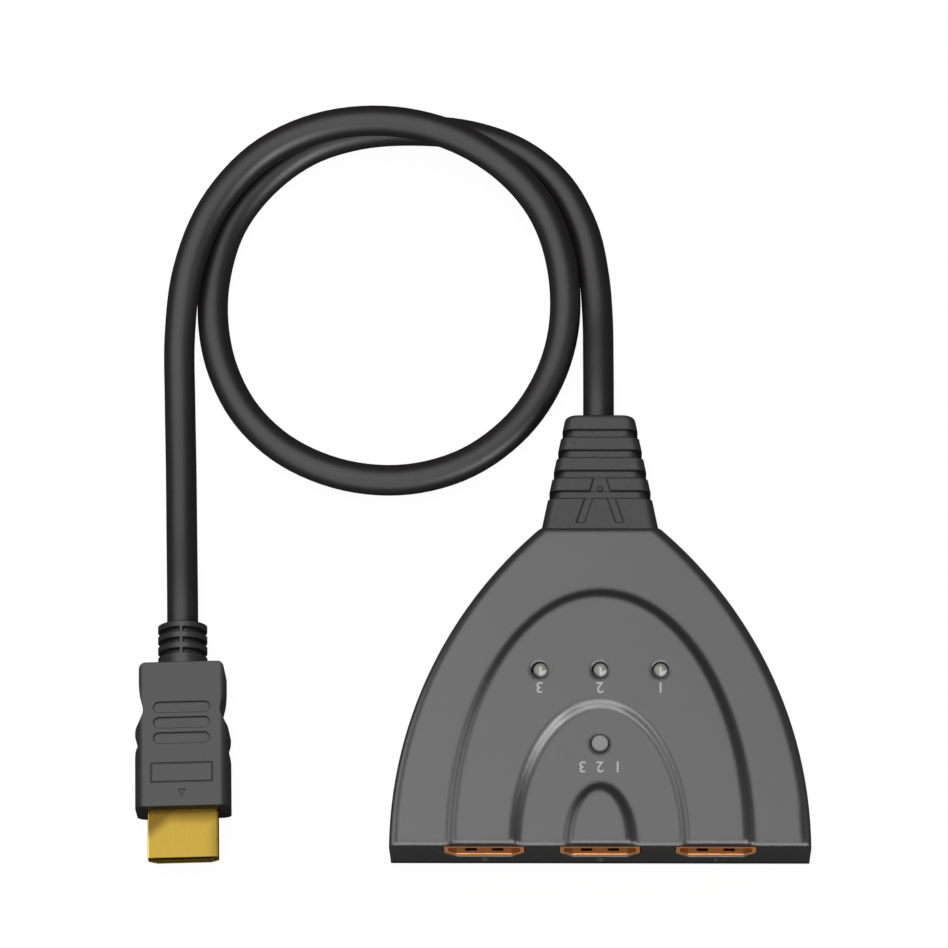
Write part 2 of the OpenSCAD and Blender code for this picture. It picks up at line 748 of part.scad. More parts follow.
module port_contacts(i) {
    y0 = front_y + flange_back + tongue_start + 0.7;
    length = port_depth + flange_t - sheet - block_len - tongue_start - 0.7;
    color("#c9a24a") translate([i * port_pitch, 0, 0]) {
        contact_row(upper_contacts, y0, length, port_z + tongue_t / 2);
        contact_row(lower_contacts, y0, length, port_z - tongue_t / 2 - contact_t);
    }
}

module switch_chip() {
    dot = chip_w * 0.1;
    color("#232326") translate([chip_x, chip_y, pcb_top + chip_lift]) difference() {
        translate([-chip_w / 2, -chip_w / 2, 0]) cube([chip_w, chip_w, chip_t]);
        translate([1.2 * dot - chip_w / 2, 1.2 * dot - chip_w / 2, chip_t - chip_lift])
            cylinder(h = past, d = dot);
    }
}

module chip_leads() {
    foil = chip_t / 8;
    bend = chip_t / 2 - foil;
    color("#c8c9cc") translate([chip_x, chip_y, pcb_top]) for (a = [0:90:270], k = [0:chip_pins - 1])
        rotate([0, 0, a]) translate([(k - (chip_pins - 1) / 2) * chip_pin_pitch, -chip_w / 2, 0])
            rotate([90, 0, -90]) translate([0, 0, -chip_pin_w / 2]) linear_extrude(chip_pin_w)
            polygon([[0, bend], [0, chip_t / 2], [0.45 * chip_pin_reach, chip_t / 2],
                [0.7 * chip_pin_reach, foil], [chip_pin_reach, foil], [chip_pin_reach, 0],
                [0.6 * chip_pin_reach, 0], [0.36 * chip_pin_reach, bend]]);
}

module voltage_regulator() {
    leg = reg_w * 0.11;
    color("#2a2a2c") translate([reg_x, front_y + reg_row, pcb_top]) {
        translate([-reg_w / 2, -reg_len / 2, chip_lift]) cube([reg_w, reg_len, reg_t]);
        translate([-reg_w / 4, reg_len / 2 - eps, 0]) cube([reg_w / 2, reg_leg, reg_t * 0.38]);
        for (k = [-1:1]) translate([k * reg_w * 0.36 - leg / 2, -reg_len / 2 - reg_leg, 0])
            cube([leg, reg_leg + eps, reg_t * 0.32]);
    }
}

module passives() {
    y0 = front_y + flange_back + flange_t + port_depth + part_behind;
    color("#b09a7a") {
        for (s = [-1, 1], i = [0:parts_in_row - 1])
            translate([s * (port_pitch - part_in) + (i - (parts_in_row - 1) / 2) * part_pitch
                - part_w / 2, y0, pcb_top]) cube([part_w, part_len, part_t]);
        for (x = cap_x) translate([x, front_y + cap_row, pcb_top]) cylinder(h = cap_h, d = cap_d);
    }
}

// Points of a smooth curve through the route, with its own straight ends
function extended(p) = concat([2 * p[0] - p[1]], p,
    [2 * p[len(p) - 1] - p[len(p) - 2]]);
function curve_at(a, b, c, d, t) = 0.5 * (2 * b + (c - a) * t + (2 * a - 5 * b + 4 * c - d) * t * t
    + (3 * b - a - 3 * c + d) * t * t * t);
function curve(p, n) = let (e = extended(p)) concat(
    [for (i = [1:len(p) - 1], k = [0:n - 1]) curve_at(e[i - 1], e[i], e[i + 1], e[i + 2], k / n)],
    [p[len(p) - 1]]);
function tangent(p, i) = unit(p[min(i + 1, len(p) - 1)] - p[max(i - 1, 0)]);
function ring(c, t, r, n) = let (side = unit(cross(t, [0, 0, 1])), up = cross(side, t))
    [for (k = [0:n - 1]) c + r * (cos(360 * k / n) * side + sin(360 * k / n) * up)];

cord_points = curve(route, cord_steps);
cord_tangents = [for (i = [0:len(cord_points) - 1])
    i == 0 ? [0, 1, 0] : i == len(cord_points) - 1 ? [sin(plug_turn), -cos(plug_turn), 0]
    : tangent(cord_points, i)];
echo(cord_length = sum_steps(cord_points));
function sum_steps(p) = let (d = [for (i = [1:len(p) - 1]) norm(p[i] - p[i - 1])])
    d * [for (x = d) 1];
// Least gap between strands that are more than 30 mm apart along the cord
fine = curve(route, 6);
echo(least_gap = min([for (i = [0:len(fine) - 1]) for (j = [i + 18:1:len(fine) - 1])
    norm(fine[i] - fine[j])]) - cord_d);

module pigtail_cord() {
    color("#3a3939") loft([for (i = [0:len(cord_points) - 1])
        ring(cord_points[i], cord_tangents[i], cord_d / 2, cord_sides)]);
}

// Puts a plug piece, drawn from its mouth along +Y, where the plug lies
module on_table() {
    translate([plug_x, plug_y, plug_z]) rotate([0, 0, plug_turn]) children();
}

// Half the moulding's outline, from its front corner to its back corner
function bumps() = [for (k = [0:len(bump_len) - 1])
    [plug_w / 2 - bump_in[k], shell_reach + bump_len[k]]];
function smooth2(p, n) = let (e = extended(p)) concat(
    [for (i = [1:len(p) - 1], k = [0:n - 1]) curve_at(e[i - 1], e[i], e[i + 1], e[i + 2], k / n)],
    [p[len(p) - 1]]);
plug_side = concat(smooth2(bumps(), 4), [for (k = [0:4]) [
    plug_w / 2 - bump_in[len(bump_in) - 1] - plug_corner_r * (1 - cos(90 * k / 4)),
    plug_back - plug_corner_r * (1 - sin(90 * k / 4))]]);

module plug_overmold() {
    color("#606060") on_table() difference() {
        union() {
            intersection() {
                translate([0, 0, -plug_t / 2]) linear_extrude(plug_t) polygon(concat(plug_side,
                    [for (i = [len(plug_side) - 1:-1:0]) [-plug_side[i].x, plug_side[i].y]]));
                // Rounded edges, seen from the front
                along_y(0, plug_end) {
                    square([plug_w - 2 * plug_r, plug_t], center = true);
                    square([plug_w, plug_t - 2 * plug_r], center = true);
                    for (x = [-1, 1], z = [-1, 1])
                        translate([x * (plug_w / 2 - plug_r), z * (plug_t / 2 - plug_r)])
                            circle(plug_r, $fn = 32);
                }
            }
            difference() {
                translate([0, plug_back - 2, 0]) rotate([-90, 0, 0])
                    cylinder(h = collar_len + 2, d = collar_d);
                for (k = [0:slot_count - 1])
                    translate([0, plug_end - slot_first - k * slot_pitch, 0]) rotate([90, 0, 0])
                        difference() {
                            translate([0, 0, -slot_w / 2]) cylinder(h = slot_w, d = collar_d + past);
                            translate([0, 0, -slot_w]) cylinder(h = 2 * slot_w, d = slot_core_d);
                            cube([web_t, collar_d + 2 * past, 2 * slot_w], center = true);
                        }
            }
        }
        // Seat of the shell
        along_y(shell_reach - past, shell_sunk + past)
            polygon(rounded(mouth(shell_w + 0.04, shell_h + 0.04, -shell_h / 2 - 0.02), 0.5));
        // Grip recesses on both faces
        for (face = [0, 1], k = [0:2]) mirror([0, 0, face])
            translate([0, shell_reach + grip_first + k * grip_pitch, plug_t / 2 - grip_deep])
                linear_extrude(past) {
                    square([grip_w - grip_h, grip_h], center = true);
                    for (s = [-1, 1]) translate([s * (grip_w - grip_h) / 2, 0])
                        circle(d = grip_h, $fn = 32);
                }
        // Engraved frame and arrow on the upper face
        translate([0, shell_reach, plug_t / 2 - line_deep]) linear_extrude(past) {
            translate([0, frame_first + frame_h / 2]) difference() {
                square([frame_w, frame_h], center = true);
                square([frame_w - 2 * line_w, frame_h - 2 * line_w], center = true);
            }
            translate([0, arrow_first]) polygon([[-arrow_w / 2, arrow_w], [0, 0],
                [arrow_w / 2, arrow_w]]);
        }
    }
}

module plug_shell() {
    color("#c8a348") on_table() difference() {
        along_y(0, shell_reach + shell_sunk - 0.02)
            polygon(rounded(mouth(shell_w, shell_h, -shell_h / 2), 0.5));
        along_y(-past, shell_reach + shell_sunk + 2 * past)
            polygon(rounded(mouth(shell_w - 2 * sheet, shell_h - 2 * sheet,
                -shell_h / 2 + sheet), 0.3));
    }
}

module plug_insulator() {
    w = shell_w - 2 * sheet - 0.04;
    h = shell_h - 2 * sheet - 0.04;
    color("#1b1b1d") on_table() difference() {
        along_y(0.6, shell_reach + shell_sunk - 0.7)
            polygon(rounded(mouth(w, h, -h / 2), 0.3));
        translate([-tongue_w / 2 - 0.2, 0, -plug_slot_h / 2])
            cube([tongue_w + 0.4, socket_depth - 2, plug_slot_h]);
    }
}

module plug_contacts() {
    color("#c9a24a") on_table() {
        contact_row(upper_contacts, 1.2, socket_depth - 3.4, plug_slot_h / 2 - contact_t);
        contact_row(lower_contacts, 1.2, socket_depth - 3.4, -plug_slot_h / 2);
    }
}

top_cover();
bottom_cover();
cover_screws();
strain_relief_boot();
pcb();
select_button();
tact_switch_body();
tact_switch_plunger();
led(1);  // led_1
led(0);  // led_2
led(-1);  // led_3
port_shell(1);  // port_1_shell
port_shell(0);  // port_2_shell
port_shell(-1);  // port_3_shell
port_tongue(1);  // port_1_tongue
port_tongue(0);  // port_2_tongue
port_tongue(-1);  // port_3_tongue
port_contacts(1);  // port_1_contacts
port_contacts(0);  // port_2_contacts
port_contacts(-1);  // port_3_contacts
switch_chip();
chip_leads();
voltage_regulator();
passives();
inner_cable();
cable_wires();
pigtail_cord();
plug_overmold();
plug_shell();
plug_insulator();
plug_contacts();
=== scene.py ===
# %% [markdown]
# # A three-input video switch box with its captive cord
# The box is a small black ABS housing with three sockets, three lamps and a button. A thick
# cord leaves it through a ribbed boot, makes one loop on the table and ends in a plug with a
# gold-plated shell. The solids could be modelled here, but they come ready made from the CAD
# model, so this file gives them their camera, their surfaces and their light.

# %% Load the solids
import math

import bpy
from mathutils import Matrix, Vector


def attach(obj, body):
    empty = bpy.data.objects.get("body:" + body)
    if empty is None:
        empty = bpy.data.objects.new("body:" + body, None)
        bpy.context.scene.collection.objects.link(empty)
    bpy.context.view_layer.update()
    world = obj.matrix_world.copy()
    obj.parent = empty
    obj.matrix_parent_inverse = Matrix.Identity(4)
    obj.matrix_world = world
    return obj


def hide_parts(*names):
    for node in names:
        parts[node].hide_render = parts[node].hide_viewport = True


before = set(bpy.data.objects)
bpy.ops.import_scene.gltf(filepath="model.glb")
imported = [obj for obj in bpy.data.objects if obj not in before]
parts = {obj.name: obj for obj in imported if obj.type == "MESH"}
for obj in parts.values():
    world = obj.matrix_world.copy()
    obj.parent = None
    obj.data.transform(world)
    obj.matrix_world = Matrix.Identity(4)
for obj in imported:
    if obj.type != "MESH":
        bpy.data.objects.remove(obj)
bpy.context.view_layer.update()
MM = 1000  # millimetres in a metre, which is the unit of every length in Blender here

# %% [markdown]
# ## The camera
# The photograph looks steeply down from the side of the sockets with a long lens, which
# keeps the top's curves almost undistorted. A constraint could aim the camera, but a point
# to stand on and a point to look at say more plainly how it was placed. The lens
# makes the housing fill the same share of the frame as in the photograph.

# %% Camera
stand = Vector((0, -0.332689, 1.089292))
look_at = Vector((-0.0253548, 0.0360159, 0))
lens_mm, sensor_mm = 217.02, 36
back = (stand - look_at).normalized()
right = (Vector((1, 0, 0)) - back.x * back).normalized()
camera = bpy.data.objects.new("camera", bpy.data.cameras.new("camera"))
camera.matrix_world = Matrix.Translation(stand) @ Matrix(
    (right, back.cross(right), back)).transposed().to_4x4()
camera.data.lens = lens_mm
camera.data.sensor_width = sensor_mm
camera.data.sensor_fit = "HORIZONTAL"
bpy.context.scene.collection.objects.link(camera)
bpy.context.scene.camera = camera
print("camera stands", round((stand - look_at).length, 3), "m away")

# %% [markdown]
# ## The cord's route
# The cord is 6.2 mm thick, stiff enough to keep a wide loop, and 455 mm long from the boot
# to the plug. Its middle line could be a Blender curve, but points in millimetres are easier
# to hold against the CAD route. They follow that route, drawn a quarter of a millimetre
# tighter where the loop meets the straight run, since the two touch there. A Catmull-Rom
# curve passes through every one of them, so it was chosen for the line in between.

# %% Route of the cord
boot_end = Vector((-0.0003, 0.045, 0.0058))
plug_tip, plug_turn = Vector((-0.0816, -0.0456, 0.00495)), math.radians(1.6)
along_plug = Vector((-math.sin(plug_turn), math.cos(plug_turn), 0))
collar_end = 0.0477
# The cord leaves the boot and enters the plug's collar straight, for a few millimetres
straight_out, straight_in = 0.006, 0.007
hand_points = [
    (-0.34, 59, 4.8), (-0.48, 68, 3.5), (-1.25, 77.5, 3.15), (-3.4, 87.5, 3.2), (-8.35, 97, 3.2),
    (-16.2, 104, 3.2), (-26.5, 108, 3.2), (-38, 109.2, 3.2), (-49.5, 108.3, 3.2),
    (-60, 104.6, 3.2), (-68.7, 97.6, 3.2), (-75, 88.5, 3.2), (-78, 78, 3.2),
    (-78.4, 67.5, 3.2), (-76.2, 57, 3.2), (-71, 47.2, 3.2), (-62.5, 39.4, 3.2),
    (-51, 34.6, 3.2), (-38.5, 33.8, 3.2), (-26.5, 37.4, 3.2), (-16.6, 45.2, 3.2),
    (-10.2, 55.4, 3.3), (-7.2, 67, 4), (-7.85, 79.5, 5.3), (-12, 91, 6.1),
    (-20, 100, 7.5), (-31, 106, 9.3), (-44, 108.6, 10), (-57.5, 107, 10),
    (-69.5, 100.8, 9.7), (-78.5, 90, 9), (-83.4, 77, 7.6), (-84.95, 64, 5),
    (-84.7, 50, 3.3), (-84.15, 36, 3.2), (-83.65, 22, 3.7)]
knots = [boot_end, boot_end + Vector((0, straight_out, 0))]
knots += [Vector(point) / MM for point in hand_points]
knots += [plug_tip + along_plug * (collar_end + straight_in), plug_tip + along_plug * collar_end]


def smooth_line(knots, steps):
    """A Catmull-Rom curve through the knots, with some steps from each to the next."""
    ends = [2 * knots[0] - knots[1]] + knots + [2 * knots[-1] - knots[-2]]
    line = []
    for a, b, c, d in zip(ends, ends[1:], ends[2:], ends[3:]):
        for k in range(steps):
            t = k / steps
            line.append(0.5 * (2 * b + (c - a) * t + (2 * a - 5 * b + 4 * c - d) * t * t
                               + (3 * b - a - 3 * c + d) * t ** 3))
    return line + [knots[-1]]


middle = smooth_line(knots, 6)

# %% [markdown]
# ## The cord's jacket
# The jacket is extruded PVC, round and of one thickness all along. A curve with a bevel would
# give it in one line, but a mesh tube lets each ring stand square to the route, and the same
# skin over rings of points also makes the lenses of the lamps further down.

# %% Skin over rings of points
cord_sides = 32


def circle_angles(sides):
    return [2 * math.pi * k / sides for k in range(sides)]


def skin_over(name, points, sides):
    """A smooth closed piece over rings of points, each ring with the same number of sides."""
    faces = [(i * sides + k, i * sides + (k + 1) % sides,
              (i + 1) * sides + (k + 1) % sides, (i + 1) * sides + k)
             for i in range(len(points) // sides - 1) for k in range(sides)]
    first_end = tuple(range(sides))[::-1]
    last_end = tuple(range(len(points) - sides, len(points)))
    mesh = bpy.data.meshes.new(name)
    mesh.from_pydata(points, [], faces + [first_end, last_end])
    mesh.shade_smooth()
    piece = bpy.data.objects.new(name, mesh)
    bpy.context.scene.collection.objects.link(piece)
    print(name, "has", len(mesh.polygons), "faces")
    return piece


print("the cord's rings have", cord_sides, "sides,",
      round(math.degrees(circle_angles(cord_sides)[1]), 2), "degrees apart")


# %% Cord
def tube(name, line, radius, sides):
    """A round tube of one thickness along a line."""
    points = []
    for i, p in enumerate(line):
        ahead = (line[min(i + 1, len(line) - 1)] - line[max(i - 1, 0)]).normalized()
        across = ahead.cross(Vector((0, 0, 1))).normalized()
        up = across.cross(ahead)
        points += [p + radius * (math.cos(a) * across + math.sin(a) * up)
                   for a in circle_angles(sides)]
    return skin_over(name, points, sides)


cord_radius = 0.0031
cord = tube("cord", middle, cord_radius, cord_sides)
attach(cord, "housing")
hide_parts("pigtail_cord")
print("cord", round(2 * cord_radius * MM, 1), "mm thick")

# %% [markdown]
# ## Colours and nodes
# Paint charts and screens give colours as sRGB hex, while the shader wants linear light,
# so one function converts. A material could be put together by hand in the node editor. Here
# one more function adds any shader node with its settings and links, which keeps each
# material short enough to read as a recipe.

# %% Colour and node helpers
def tone(hex_code):
    """Linear colour from sRGB hex."""
    channels = [int(hex_code[i:i + 2], 16) / 255 for i in (1, 3, 5)]
    return tuple(c / 12.92 if c <= 0.04045 else ((c + 0.055) / 1.055) ** 2.4
                 for c in channels) + (1.0,)


def add(tree, kind, inputs=None, **settings):
    """One node, its settings, and for each input either a value or a socket to link."""
    node = tree.nodes.new(kind)
    for key, value in settings.items():
        setattr(node, key, value)
    for key, value in (inputs or {}).items():
        if isinstance(value, bpy.types.NodeSocket):
            tree.links.new(value, node.inputs[key])
        else:
            node.inputs[key].default_value = value
    return node


print("hex #808080 is", round(tone("#808080")[0], 3), "in linear light")

# %% [markdown]
# ## How a moulded plastic looks
# A moulding takes the skin of its steel tool: a fine grain, edges that are never quite sharp,
# and a colour that drifts a little where the melt flowed. Small modelled bevels could soften
# the edges, but the CAD meshes stay as they are, so the shading does it. Noise at real scales
# gives the rest.

# %% Recipe for moulded plastics
GRAIN_MM = 0.3


def blank_material(name):
    """A new material, its node tree, and the shader that comes with it."""
    material = bpy.data.materials.new(name)
    material.use_nodes = True
    tree = material.node_tree
    return material, tree, tree.nodes["Principled BSDF"]


def relief(tree, shader, height, strength, depth_mm, soften_mm):
    """Softens the edges in the shading and lays a shallow relief over them."""
    soft = add(tree, "ShaderNodeBevel", {"Radius": soften_mm / MM}, samples=6)
    bump = add(tree, "ShaderNodeBump", {"Height": height, "Strength": strength,
               "Distance": depth_mm / MM, "Normal": soft.outputs["Normal"]})
    tree.links.new(bump.outputs["Normal"], shader.inputs["Normal"])


def moulded(name, dark, light, rough, grain_mm=GRAIN_MM, soften_mm=0.3, **shine):
    """Two close tones in soft clouds, a fine grain and softened edges."""
    material, tree, shader = blank_material(name)
    place = add(tree, "ShaderNodeTexCoord").outputs["Object"]
    # The melt's drift in colour is about as wide as a fingertip
    cloud_mm = 9
    clouds = add(tree, "ShaderNodeTexNoise", {"Vector": place, "Scale": MM / cloud_mm,
                 "Detail": 3})
    tint = add(tree, "ShaderNodeMix", {"Factor": clouds.outputs["Fac"], "A": tone(dark),
               "B": tone(light)}, data_type="RGBA")
    tree.links.new(tint.outputs["Result"], shader.inputs["Base Color"])
    # Real grain is a few hundredths of a millimetre wide, drawn coarser here so that it shows
    grain = add(tree, "ShaderNodeTexNoise", {"Vector": place, "Scale": MM / grain_mm,
                "Detail": 2})
    # Noise lies mostly between 0.3 and 0.7, and swings the roughness by 0.04 either way
    matt = add(tree, "ShaderNodeMapRange", {"Value": grain.outputs["Fac"], "From Min": 0.3,
               "From Max": 0.7, "To Min": rough - 0.04, "To Max": rough + 0.04})
    tree.links.new(matt.outputs["Result"], shader.inputs["Roughness"])
    relief(tree, shader, grain.outputs["Fac"], 0.5, 0.01, soften_mm)
    for socket, value in shine.items():
        shader.inputs[socket.replace("_", " ")].default_value = value
    return material


def dress(material, *pieces):
    """Gives a material to new pieces, or to CAD nodes by their names."""
    for name in pieces:
        piece = parts[name] if isinstance(name, str) else name
        piece.data.materials.clear()
        piece.data.materials.append(material)
    print(material.name, "on", len(pieces), "pieces")


print("a grain of", GRAIN_MM, "mm is noise of scale", round(MM / GRAIN_MM))

# %% [markdown]
# ## Housing, boot, cord, plug and button
# The housing is ABS, moulded in a tool with a fine spark-eroded finish. Its grain spreads the
# light into a soft grey sheen that is stronger than bare resin gives, so its index is set to
# 1.9, and the edges are softened wide enough to round the flanks of the terraces. The boot,
# the jacket and the plug's moulding are softer PVC. One black could serve all of them, but
# side by side they differ in tone and gloss, so each has its own.

# %% Plastics that show
# Even dark grey with a broad, soft sheen along every edge
dress(moulded("moulded_abs_black", "#343434", "#383838", 0.32, soften_mm=1.3, IOR=1.9),
      "top_cover", "bottom_cover")
# Duller and darker than the housing, as soft PVC is
dress(moulded("moulded_pvc_boot", "#2a2a2a", "#2e2e2e", 0.5, soften_mm=0.5, IOR=1.5),
      "strain_relief_boot")
# Between the two, with crisp grip recesses
dress(moulded("moulded_pvc_plug", "#2e2e2e", "#323232", 0.42, IOR=1.5), "plug_overmold")
# Nearly black, a touch warm, with one long streak of light
dress(moulded("extruded_pvc_jacket", "#151213", "#191617", 0.45, IOR=1.5), cord, "inner_cable")
# Plain mid grey that stands out from the black around it
dress(moulded("moulded_abs_grey", "#808080", "#868686", 0.5), "select_button")

# %% [markdown]
# ## Plastics inside the housing
# The board and what sits on it show only through gaps or with the covers off. They could be
# left plain, but each has the colour and gloss of its own substance.

# %% Plastics inside
def ports(kind):
    return ["port_%d_%s" % (i, kind) for i in (1, 2, 3)]


# Black with a dull gloss, as glass-filled nylon and chip resin have
dress(moulded("moulded_nylon_black", "#0e0e0f", "#131314", 0.45),
      "plug_insulator", "tact_switch_body", "switch_chip", "voltage_regulator",
      *ports("tongue"))
# Warm off-white of undyed nylon
dress(moulded("moulded_nylon_ivory", "#cfc9b6", "#d8d2c0", 0.45), "tact_switch_plunger")
# Sandy brown and dry
dress(moulded("fired_ceramic", "#8f7a5c", "#a89270", 0.6), "passives")
# Green lacquer, glossier, with the slow ripple of the copper under it
dress(moulded("solder_mask_green", "#1d5a31", "#236439", 0.35, grain_mm=1.2), "pcb")
# Dull red with a soft gloss
dress(moulded("extruded_pvc_red", "#7d2018", "#8a281e", 0.45), "cable_wires")


# %% [markdown]
# ## How plated sheet looks
# The plug's shell is steel sheet plated with gold, and the sockets' shells are plated in a
# redder, coppery tone. Metal has no colour of its own below its shine, so the base colour
# tints what it mirrors. The press leaves faint drawing lines along the shell. They could be
# an anisotropic gloss, but stretched noise also gives them a little colour and depth.

# %% Recipe for plated sheet
def plated(name, colour, worn, rough):
    """A metal with faint drawing lines along Y, in two close tones."""
    material, tree, shader = blank_material(name)
    shader.inputs["Metallic"].default_value = 1
    place = add(tree, "ShaderNodeTexCoord").outputs["Object"]
    stretched = add(tree, "ShaderNodeMapping", {"Vector": place, "Scale": (1, 0.06, 1)})
    # Real lines are some hundredths of a millimetre apart, drawn coarser here so that they show
    line_mm = 0.2
    lines = add(tree, "ShaderNodeTexNoise", {"Vector": stretched.outputs["Vector"],
                "Scale": MM / line_mm, "Detail": 3})
    tint = add(tree, "ShaderNodeMix", {"Factor": lines.outputs["Fac"], "A": tone(colour),
               "B": tone(worn)}, data_type="RGBA")
    tree.links.new(tint.outputs["Result"], shader.inputs["Base Color"])
    matt = add(tree, "ShaderNodeMapRange", {"Value": lines.outputs["Fac"],
               "To Min": rough - 0.03, "To Max": rough + 0.05})
    tree.links.new(matt.outputs["Result"], shader.inputs["Roughness"])
    relief(tree, shader, lines.outputs["Fac"], 0.08, 0.005, 0.15)
    return material


# Pale yellow gold, satin rather than mirror bright
gold = plated("gold_plated_steel", "#e0bf56", "#d8b44c", 0.28)
dress(gold, "plug_shell")

# %% [markdown]
# ## Painted shade and reflection on the gold
# In one corner, close to the moulding and towards its right edge, the shell mirrors dark
# plastic and lies in the moulding's shade. The lamps alone could leave it so, but they are too
# soft for an edge this narrow, so a painted reflection and painted shade, in a browner tone of
# the gold, are laid on by place, with soft steps along three directions.

# %% Painted shade and reflection on the gold
tree = gold.node_tree
base = tree.nodes["Principled BSDF"].inputs["Base Color"]
at = add(tree, "ShaderNodeTexCoord").outputs["Object"]
slant = add(tree, "ShaderNodeVectorMath", {0: at, 1: (-0.623, 0.782, 0)},
            operation="DOT_PRODUCT")
along = add(tree, "ShaderNodeSeparateXYZ", {"Vector": at})
painted_shade_and_reflection = 0
# Distance, where the painted shade starts and is full in millimetres, and how far it goes to the
# brown
for distance, start_mm, full_mm, most in ((slant.outputs["Value"], 21.5, 24.2, 1),
                                          (along.outputs["Y"], -39.5, -36.8, 0.85),
                                          (along.outputs["X"], -77.5, -74.5, 0.6)):
    step = add(tree, "ShaderNodeMapRange", {"Value": distance, "From Min": start_mm / MM,
               "From Max": full_mm / MM, "To Max": most}, interpolation_type="SMOOTHSTEP")
    painted_shade_and_reflection = add(tree, "ShaderNodeMath", {0: painted_shade_and_reflection, 1: step.outputs["Result"]},
                  operation="MAXIMUM").outputs[0]
# Painted shade and reflection: the gold's colour is mixed towards a dark brown by the mask
tint = add(tree, "ShaderNodeMix", {"Factor": painted_shade_and_reflection, "A": base.links[0].from_socket,
           "B": tone("#96742f")}, data_type="RGBA")
tree.links.new(tint.outputs["Result"], base)
print("gold shell has", len(tree.nodes), "nodes")

# %% [markdown]
# ## The other metals
# Sockets, contacts, leads and screws are thin sheet or wire too, so the same recipe serves
# them, with the colour and gloss of each plating.

# %% Other metals
# Reddish and dull, so the sockets' mouths glow softly
dress(plated("copper_toned_plating", "#c98a55", "#b87844", 0.45), *ports("shell"))
# Bright yellow, thin and smooth
dress(plated("gold_flash_contacts", "#d9b65a", "#c9a44a", 0.25), "plug_contacts",
      *ports("contacts"))
# Silvery white
dress(plated("tinned_leads", "#c9cacc", "#b9babc", 0.3), "chip_leads")
# Dark and oily
dress(plated("blackened_steel", "#3a3a3c", "#333335", 0.35), "cover_screws")

# %% [markdown]
# ## The lamps' lenses
# Each lamp is a clear epoxy lens cast round a metal post and a cup that carries the chip. From
# above, the post shows as a bright bar and the cup as a bright wedge beside it, bright with the
# light they mirror. The metal could be modelled under clear resin, but at this size that turns
# to noise, so both are drawn in the lens's colour: their shapes are real, and their brightness
# is a painted reflection.

# %% Lens with its post and cup, their shine painted
# Cloudy grey resin, with the post and cup inside painted in as a bright reflection
lens = moulded("cast_epoxy_lens", "#6a6b67", "#8b8c88", 0.3, soften_mm=0.1)
tree = lens.node_tree
base = tree.nodes["Principled BSDF"].inputs["Base Color"]
at = add(tree, "ShaderNodeSeparateXYZ", {"Vector": add(
    tree, "ShaderNodeTexCoord").outputs["Object"]}).outputs
side = add(tree, "ShaderNodeMath", {0: at["X"]}, operation="ABSOLUTE")
slant = add(tree, "ShaderNodeMath", {0: at["X"], 1: -0.45, 2: at["Y"]},
            operation="MULTIPLY_ADD")
fades = []
# Distance from the lens's middle, then where the metal starts and is full in millimetres:
# beside the post, past its end, below the cup's slanting rim and right of its left end
for distance, start_mm, full_mm in ((side.outputs[0], 0.25, 0.08), (at["Y"], 0.7, 0.3),
                                    (slant.outputs[0], -0.35, -0.75), (at["X"], -0.5, 0.1)):
    fades.append(add(tree, "ShaderNodeMapRange", {"Value": distance,
                 "From Min": start_mm / MM, "From Max": full_mm / MM}).outputs["Result"])
post, cup = (add(tree, "ShaderNodeMath", {0: a, 1: b}, operation="MULTIPLY").outputs[0]
             for a, b in (fades[:2], fades[2:]))
metal = add(tree, "ShaderNodeMath", {0: post, 1: cup}, operation="MAXIMUM").outputs[0]
# A pale grey on the post and cup: a painted reflection of the light they mirror
tint = add(tree, "ShaderNodeMix", {"Factor": metal, "A": base.links[0].from_socket,
           "B": tone("#c2c2bc")}, data_type="RGBA")
tree.links.new(tint.outputs["Result"], base)
print("lens has", len(tree.nodes), "nodes")

# %% [markdown]
# ## The shape of a lens
# The lens has a flatter top than a ball and a wider flange at its foot. It could be cut from
# a sphere, but a profile turned about its axis says each of its heights.

# %% Lamp lenses
# Radius and height in millimetres, from the flange up, seen from the top of the CAD lens
lens_profile = [(0.05, -4.6), (1.7, -4.6), (1.7, -4.1), (1.4, -4.1), (1.4, -0.15),
                (1.32, 0.05), (1.1, 0.18), (0.7, 0.27), (0.05, 0.3)]
lens_sides = 48
for i in (1, 2, 3):
    solid = parts["led_%d" % i]
    corners = [solid.matrix_world @ Vector(c) for c in solid.bound_box]
    lamp = skin_over("lamp_lens_%d" % i, [
        (r * math.cos(a) / MM, r * math.sin(a) / MM, z / MM)
        for r, z in lens_profile for a in circle_angles(lens_sides)], lens_sides)
    lamp.location = (sum(c.x for c in corners) / 8, sum(c.y for c in corners) / 8,
                     max(c.z for c in corners))
    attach(lamp, "housing")
    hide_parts("led_%d" % i)
    dress(lens, lamp)

# %% [markdown]
# ## Printed marks
# The digits are screen printed in light grey, a hair above the plastic. They could be a
# picture laid on the cover, but text objects stay sharp and need none, and plain digits are
# enough to tell the inputs apart.

# %% Ink and text
# Flat light grey without gloss
print_ink = moulded("screen_print_grey", "#b4b4b4", "#bcbcbc", 0.6)
cap_share = 0.7  # a capital's share of the text's size
ink_mm, swell_mm = 0.015, 0.05  # thickness of the ink, and how far it swells a stroke


def printed(name, text, height_mm, place_mm, turn, spread=1.0):
    """Text of a given height, centred on a place and turned by degrees about each axis."""
    curve = bpy.data.curves.new(name, "FONT")
    curve.body = text
    curve.align_x = curve.align_y = "CENTER"
    curve.size = height_mm / MM / cap_share
    curve.space_character = spread
    curve.extrude = ink_mm / MM
    curve.offset = swell_mm / MM
    piece = bpy.data.objects.new(name, curve)
    piece.location = Vector(place_mm) / MM
    piece.rotation_euler = [math.radians(a) for a in turn]
    bpy.context.scene.collection.objects.link(piece)
    curve.materials.append(print_ink)
    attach(piece, "housing")
    print(name, "says", text)


print("ink is", ink_mm, "mm thick")

